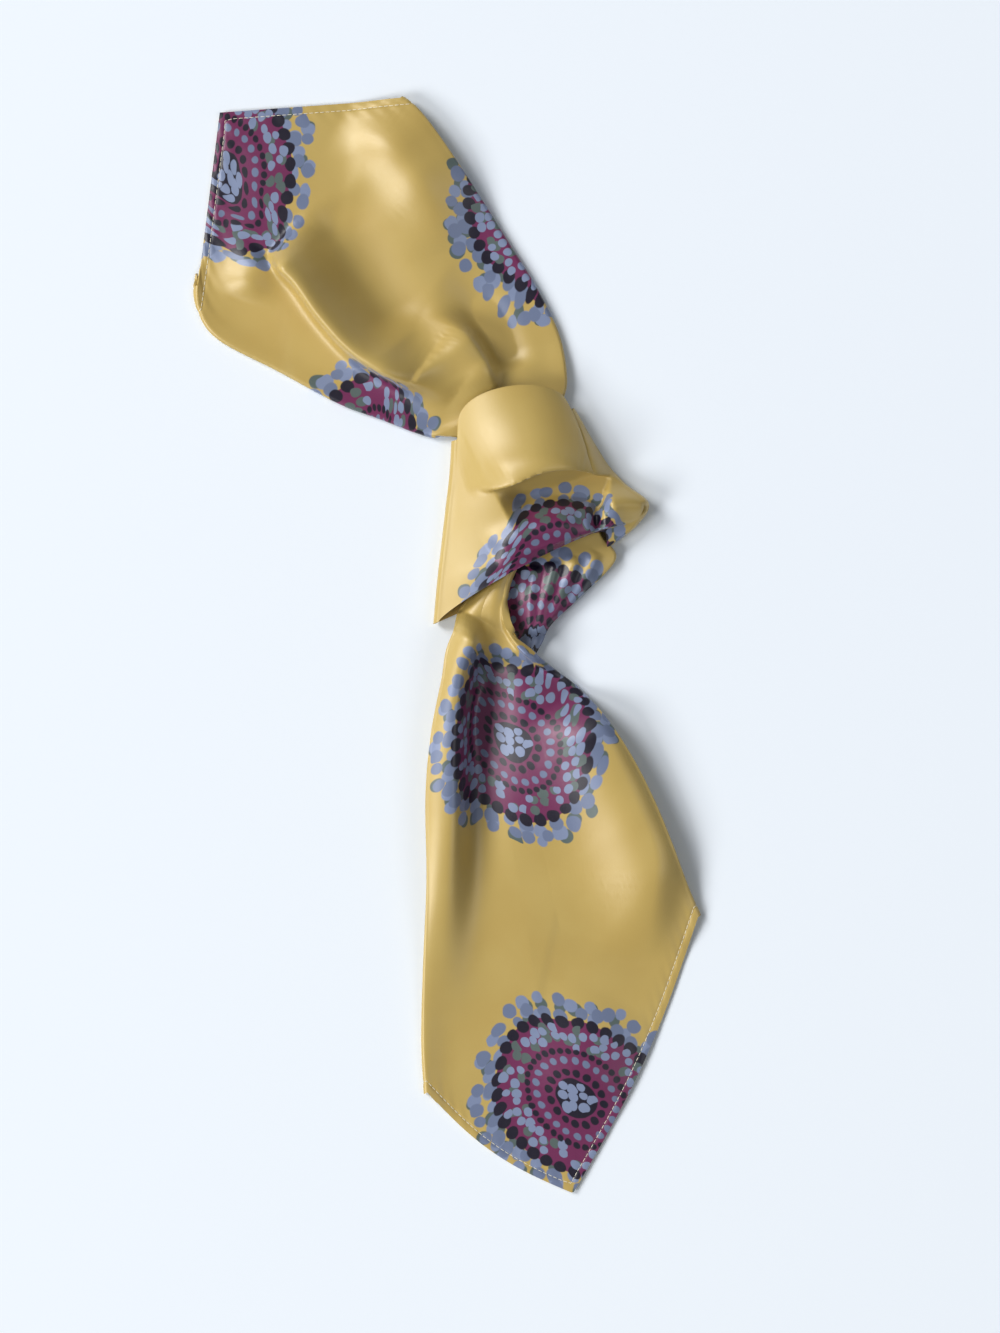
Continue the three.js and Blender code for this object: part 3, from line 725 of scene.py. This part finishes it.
def make_stitches(name, drape, material, steps=400):
    """The row of stitches that holds both hems of a tail."""
    share, turn = drape.section(np.array([0.0]), steps)
    row = STITCH_INSET * drape.hem_at(share)
    rows = np.concatenate([row - 2 * NUDGE, row, row + 2 * NUDGE])
    points = drape.place(rows, np.repeat(share, 3, axis=0), turn)
    ups = outward_normals(points)[1]
    line = points[1]
    along = np.concatenate([[0], np.cumsum(np.linalg.norm(np.diff(line, axis=0), axis=1))])
    vertices = []
    faces = []
    for begin in np.arange(STITCH_PITCH, along[-1] - STITCH_PITCH, STITCH_PITCH):
        at = begin + np.linspace(0, STITCH_LENGTH, THREAD_RINGS)
        stretch = np.stack([np.interp(at, along, line[:, k]) for k in range(3)], axis=-1)
        up = unit(np.stack([np.interp(at, along, ups[:, k]) for k in range(3)], axis=-1))
        faces += stitch_faces(len(vertices))
        vertices.extend(stitch_vertices(stretch, up))
    mesh = bpy.data.meshes.new(name)
    mesh.from_pydata(drape.to_part(np.array(vertices)).tolist(), [], faces)
    mesh.shade_smooth()
    return add_piece(name, mesh, material, [])


def make_knot_piece(name, drape, material, rows, steps, nodes):
    """The cloth of the wrap or of the gathered stretch."""
    at = np.linspace(0, drape.last, rows)
    share, turn = drape.section(at, steps)
    points = drape.place(at[:, None], share, turn)
    ring = drape.fold["open"]
    mesh = sheet_mesh(name, drape.to_part(points), CLOTH * MM, cloth_uv(points), ring)
    return add_piece(name, mesh, material, nodes)


class Nodes:
    """Short calls that add nodes to a material and return their outputs."""

    def __init__(self, material):
        self.tree = material.node_tree

    def add(self, kind, **settings):
        node = self.tree.nodes.new(kind)
        for name, value in settings.items():
            setattr(node, name, value)
        return node

    def link(self, source, socket):
        if isinstance(source, (int, float, tuple)):
            socket.default_value = source
        else:
            self.tree.links.new(source, socket)

    def math(self, operation, *values, clamp=False):
        node = self.add("ShaderNodeMath", operation=operation, use_clamp=clamp)
        for value, socket in zip(values, node.inputs):
            self.link(value, socket)
        return node.outputs[0]

    def vector(self, operation, *values, output=0):
        node = self.add("ShaderNodeVectorMath", operation=operation)
        for value, socket in zip(values, node.inputs):
            self.link(value, socket)
        return node.outputs[output]

    def step(self, value, low, high):
        node = self.add("ShaderNodeMapRange", interpolation_type="SMOOTHSTEP")
        for given, socket in zip((value, low, high), node.inputs):
            self.link(given, socket)
        return node.outputs[0]

    def mix(self, share, a, b, blend="MIX"):
        node = self.add("ShaderNodeMix", data_type="RGBA", blend_type=blend)
        colours = [s for s in node.inputs if s.type == "RGBA"]
        self.link(share, node.inputs[0])
        self.link(a, colours[0])
        self.link(b, colours[1])
        return [s for s in node.outputs if s.type == "RGBA"][0]

    def noise(self, vector, scale, detail=2.0, roughness=0.5):
        node = self.add("ShaderNodeTexNoise")
        self.link(vector, node.inputs["Vector"])
        node.inputs["Scale"].default_value = scale
        node.inputs["Detail"].default_value = detail
        node.inputs["Roughness"].default_value = roughness
        return node.outputs[0]

    def voronoi(self, vector, scale, randomness=1.0):
        node = self.add("ShaderNodeTexVoronoi", voronoi_dimensions="2D")
        self.link(vector, node.inputs["Vector"])
        node.inputs["Scale"].default_value = scale
        node.inputs["Randomness"].default_value = randomness
        return node.outputs


# Colours of the cloth and its print
GOLD = (0.54, 0.39, 0.115, 1)
DEEP_GOLD = (0.46, 0.30, 0.065, 1)
PLUM = (0.16, 0.016, 0.085, 1)
AUBERGINE = (0.004, 0.001, 0.014, 1)
LILAC = (0.15, 0.19, 0.31, 1)
PALE_LILAC = (0.21, 0.26, 0.41, 1)
SAGE = (0.09, 0.125, 0.12, 1)
SLUB_TINT = (1.0, 0.96, 0.86, 1)
SHEEN_TINT = (1.0, 0.95, 0.84, 1)
THREAD_COLOUR = (0.78, 0.72, 0.55, 1)
PALE_THREAD = (0.92, 0.88, 0.74, 1)

# The print: round dotted rosettes in a half-drop repeat, in metres
REPEAT = (0.152, 0.188)
ROSETTE = 0.054  # radius
PRINT_WOBBLE = 0.003
PRINT_BLUR = 0.0003  # half the width of a soft edge
DOT_BLUR = 0.04  # the same for scattered dots, as a share of their pitch
LEAST_DOT = 0.62  # the smallest radius of a scattered dot, as a share of its size
DOT_SPREAD = 0.25  # how much larger the largest is


class Rosettes(Nodes):
    """The print's nodes: each method lays one more part of the rosettes over the colour."""

    def start(self, offset, turn):
        """The place in one repeat of the print, with its way from the rosette's middle."""
        coords = self.add("ShaderNodeUVMap", uv_map="cloth").outputs[0]
        self.coords = coords
        wobble = self.add("ShaderNodeTexNoise", noise_dimensions="2D")
        self.link(coords, wobble.inputs["Vector"])
        wobble.inputs["Scale"].default_value = 60
        reach = (PRINT_WOBBLE,) * 3
        back = (-PRINT_WOBBLE / 2,) * 3
        shift = self.vector("MULTIPLY_ADD", wobble.outputs["Color"], reach, back)
        turned = self.add("ShaderNodeMapping")
        turned.inputs["Location"].default_value = (*offset, 0)
        turned.inputs["Rotation"].default_value = (0, 0, math.radians(turn))
        self.link(self.vector("ADD", coords, shift), turned.inputs["Vector"])
        xyz = self.add("ShaderNodeSeparateXYZ")
        self.link(turned.outputs[0], xyz.inputs[0])
        column = self.math("DIVIDE", xyz.outputs[0], REPEAT[0])
        drop = self.math("MULTIPLY", self.math("FLOORED_MODULO", self.math("FLOOR", column), 2.0), 0.5)
        row = self.math("ADD", self.math("DIVIDE", xyz.outputs[1], REPEAT[1]), drop)
        self.x = self.math("MULTIPLY", self.math("SUBTRACT", self.math("FRACT", column), 0.5), REPEAT[0])
        self.y = self.math("MULTIPLY", self.math("SUBTRACT", self.math("FRACT", row), 0.5), REPEAT[1])
        place = self.add("ShaderNodeCombineXYZ")
        self.link(self.x, place.inputs[0])
        self.link(self.y, place.inputs[1])
        self.place = place.outputs[0]
        self.radius = self.vector("LENGTH", self.place, output=1)
        self.angle = self.math("DIVIDE", self.math("ARCTAN2", self.y, self.x), 2 * math.pi)

    def disc(self, colour, paint, radius):
        inside = self.step(self.radius, radius + PRINT_BLUR, radius - PRINT_BLUR)
        return self.mix(inside, colour, paint)

    def ring(self, colour, paint, radius, count, size, phase=0.0):
        """A ring of round beads."""
        turn = self.math("FRACT", self.math("ADD", self.math("MULTIPLY", self.angle, float(count)), phase))
        beside = self.math("MULTIPLY", self.math("SUBTRACT", turn, 0.5), 2 * math.pi * radius / count)
        out = self.math("SUBTRACT", self.radius, radius)
        squares = [self.math("POWER", part, 2.0) for part in (beside, out)]
        away = self.math("SQRT", self.math("ADD", *squares))
        return self.mix(self.step(away, size + PRINT_BLUR, size - PRINT_BLUR), colour, paint)

    def scatter(self, colour, paint, pitch, size, inner, outer, density=1.0, shift=0.0):
        """Scattered dots of uneven size, whose middles lie between two radii; density is the share kept."""
        move = (shift, shift * 0.7, 0.0)
        cells = self.voronoi(self.vector("ADD", self.place, move), 1 / pitch, 0.5)
        middle = self.vector("SUBTRACT", cells["Position"], move)
        out = self.vector("LENGTH", middle, output=1)
        beyond = self.math("GREATER_THAN", out, inner)
        within = self.math("MULTIPLY", beyond, self.math("LESS_THAN", out, outer))
        chance = self.add("ShaderNodeSeparateColor")
        self.link(cells["Color"], chance.inputs[0])
        kept = self.math("LESS_THAN", chance.outputs[0], density)
        share = size / pitch
        reach = self.math("MULTIPLY_ADD", chance.outputs[1], DOT_SPREAD * share, LEAST_DOT * share)
        dot = self.step(self.math("SUBTRACT", cells["Distance"], reach), DOT_BLUR, -DOT_BLUR)
        painted = self.math("MULTIPLY", dot, self.math("MULTIPLY", within, kept))
        return self.mix(painted, colour, paint)

    def rosettes(self, colour):
        """A dark disc and rings of beads, with scattered dots between them and round the outside."""
        r = ROSETTE
        colour = self.scatter(colour, SAGE, 0.0088, 0.0047, 0.78 * r, 1.0 * r, 0.8, 0.31)
        colour = self.scatter(colour, PALE_LILAC, 0.0086, 0.0046, 0.78 * r, 0.99 * r, 0.8, 0.43)
        colour = self.disc(colour, PLUM, 0.78 * r)
        colour = self.scatter(colour, LILAC, 0.0086, 0.0047, 0.77 * r, 0.98 * r, 0.95, 0.57)
        colour = self.ring(colour, AUBERGINE, 0.76 * r, 34, 0.0033)
        colour = self.scatter(colour, SAGE, 0.0056, 0.0036, 0.50 * r, 0.70 * r, 0.6, 0.83)
        colour = self.scatter(colour, PALE_LILAC, 0.0052, 0.0032, 0.52 * r, 0.71 * r, 0.75, 0.13)
        colour = self.ring(colour, AUBERGINE, 0.47 * r, 38, 0.0017)
        colour = self.ring(colour, LILAC, 0.38 * r, 22, 0.0019, 0.5)
        colour = self.ring(colour, AUBERGINE, 0.26 * r, 16, 0.0021)
        colour = self.disc(colour, AUBERGINE, 0.20 * r)
        colour = self.scatter(colour, PALE_LILAC, 0.0052, 0.0036, 0.0, 0.17 * r, 1.0, 0.27)
        return colour


def satin(name, offset, turn, printed=True):
    """Satin silk: a lustrous float weave, a little uneven, with the print in its colour."""
    material = bpy.data.materials.new(name)
    material.use_nodes = True
    nodes = Rosettes(material)
    shader = material.node_tree.nodes["Principled BSDF"]
    nodes.start(offset, turn)
    cloud = nodes.noise(nodes.coords, 22, 3)
    ground = nodes.mix(nodes.step(cloud, 0.3, 0.7), GOLD, DEEP_GOLD)
    ground = nodes.mix(0.35, GOLD, ground)
    colour = nodes.rosettes(ground) if printed else ground
    slubs = nodes.add("ShaderNodeMapping")
    slubs.inputs["Scale"].default_value = (1, 0.06, 1)
    nodes.link(nodes.coords, slubs.inputs["Vector"])
    thread = nodes.noise(slubs.outputs[0], 2400, 2)
    colour = nodes.mix(nodes.math("MULTIPLY", thread, 0.16), colour, SLUB_TINT, "MULTIPLY")
    nodes.link(colour, shader.inputs["Base Color"])
    rough = nodes.math("MULTIPLY_ADD", nodes.noise(nodes.coords, 420, 3), 0.08, 0.36)
    nodes.link(rough, shader.inputs["Roughness"])
    shader.inputs["Metallic"].default_value = 0.03
    shader.inputs["IOR"].default_value = 1.5
    shader.inputs["Specular IOR Level"].default_value = 0.75
    shader.inputs["Sheen Weight"].default_value = 0.22
    shader.inputs["Sheen Roughness"].default_value = 0.3
    shader.inputs["Sheen Tint"].default_value = SHEEN_TINT
    weave = nodes.add("ShaderNodeTexWave", wave_type="BANDS", bands_direction="DIAGONAL")
    nodes.link(nodes.coords, weave.inputs["Vector"])
    weave.inputs["Scale"].default_value = 900
    weave.inputs["Distortion"].default_value = 1.5
    relief = nodes.math("MULTIPLY_ADD", weave.outputs["Fac"], 0.35, nodes.math("MULTIPLY", thread, 0.6))
    bump = nodes.add("ShaderNodeBump")
    bump.inputs["Strength"].default_value = 0.18
    bump.inputs["Distance"].default_value = 0.0002
    nodes.link(relief, bump.inputs["Height"])
    nodes.link(bump.outputs[0], shader.inputs["Normal"])
    return material


def thread_material():
    """Pale twisted sewing thread."""
    material = bpy.data.materials.new("thread")
    material.use_nodes = True
    nodes = Nodes(material)
    shader = material.node_tree.nodes["Principled BSDF"]
    coords = nodes.add("ShaderNodeTexCoord").outputs["Object"]
    twist = nodes.noise(coords, 5200, 2)
    colour = nodes.mix(twist, THREAD_COLOUR, PALE_THREAD)
    nodes.link(colour, shader.inputs["Base Color"])
    nodes.link(nodes.math("MULTIPLY_ADD", twist, 0.2, 0.45), shader.inputs["Roughness"])
    shader.inputs["Sheen Weight"].default_value = 0.3
    bump = nodes.add("ShaderNodeBump")
    bump.inputs["Strength"].default_value = 0.4
    bump.inputs["Distance"].default_value = 0.0001
    nodes.link(twist, bump.inputs["Height"])
    nodes.link(bump.outputs[0], shader.inputs["Normal"])
    return material


def make_floor():
    """A plain pale floor, just under the cloth."""
    mesh = bpy.data.meshes.new("floor")
    corners = [(-1, -1), (1, -1), (1, 1), (-1, 1)]
    mesh.from_pydata([(FLOOR_HALF * x, FLOOR_HALF * y, -FLOOR_DROP) for x, y in corners], [], [(0, 1, 2, 3)])
    material = bpy.data.materials.new("floor")
    material.use_nodes = True
    nodes = Nodes(material)
    shader = material.node_tree.nodes["Principled BSDF"]
    coords = nodes.add("ShaderNodeTexCoord").outputs["Object"]
    tone = nodes.mix(nodes.noise(coords, 1.5, 2), *FLOOR_TONES)
    nodes.link(tone, shader.inputs["Base Color"])
    shader.inputs["Roughness"].default_value = 0.9
    shader.inputs["Specular IOR Level"].default_value = 0.1
    mesh.materials.append(material)
    floor = bpy.data.objects.new("floor", mesh)
    bpy.context.scene.collection.objects.link(floor)


def area_light(name, place, size, power):
    """A square soft light that points at the origin."""
    light = bpy.data.lights.new(name, "AREA")
    light.shape = "SQUARE"
    light.size = size
    light.energy = power
    light.color = LAMP_COLOUR
    lamp = bpy.data.objects.new(name, light)
    lamp.location = place
    lamp.rotation_euler = (-lamp.location).to_track_quat("-Z", "Y").to_euler()
    bpy.context.scene.collection.objects.link(lamp)


def make_lights():
    area_light("key", (-8.8, 4.6, 7.6), 5.0, 1110)
    area_light("side", (-8.9, -4.4, 6.9), 4.5, 860)
    area_light("fill", (6.0, -1.5, 7.8), 4.5, 110)
    world = bpy.data.worlds.new("studio")
    world.use_nodes = True
    background = world.node_tree.nodes["Background"]
    background.inputs["Color"].default_value = SKY_COLOUR
    background.inputs["Strength"].default_value = SKY_STRENGTH
    bpy.context.scene.world = world


def make_camera():
    """A camera straight above, which sees what the picture shows."""
    camera = bpy.data.cameras.new("camera")
    camera.sensor_width = SENSOR
    camera.lens = SENSOR * CAMERA_HEIGHT / PICTURE_HEIGHT
    holder = bpy.data.objects.new("camera", camera)
    holder.location = (PICTURE_MIDDLE[0] * MM, PICTURE_MIDDLE[1] * MM, CAMERA_HEIGHT * MM)
    bpy.context.scene.collection.objects.link(holder)
    bpy.context.scene.camera = holder


def main():
    upper_silk = satin("silk_upper", offset=(0.0138, 0.0009), turn=20)
    lower_silk = satin("silk_lower", offset=(0.0756, 0.025), turn=-10)
    knot_silk = satin("silk_knot", offset=(0.0062, -0.0815), turn=35)
    gather_silk = satin("silk_gather", offset=(0.037, -0.054), turn=60)
    hem_silk = satin("silk_hem", offset=(0, 0), turn=0, printed=False)
    thread = thread_material()
    upper = make_tail("upper_cloth", UPPER_TAIL, upper_silk, rows=170, steps=150, nodes=["upper_tail"])
    lower = make_tail("lower_cloth", LOWER_TAIL, lower_silk, rows=190, steps=150, nodes=["lower_tail"])
    wrap = make_knot_piece("wrap_cloth", WRAP, knot_silk, rows=110, steps=150, nodes=["knot_wrap"])
    gather = make_knot_piece("gather_cloth", GATHER, gather_silk, rows=90, steps=130, nodes=["knot_gather"])
    for name, drape in (("upper", UPPER_TAIL), ("lower", LOWER_TAIL)):
        tip = drape.tip["share"]
        make_hem(f"{name}_turned_left", drape, hem_silk, 0, tip - TIP_GAP, f"{name}_hem_left")
        make_hem(f"{name}_turned_right", drape, hem_silk, tip + TIP_GAP, 1, f"{name}_hem_right")
        make_stitches(f"{name}_stitches", drape, thread)
    make_floor()
    make_lights()
    make_camera()
    bpy.context.scene.view_settings.view_transform = "Standard"


main()
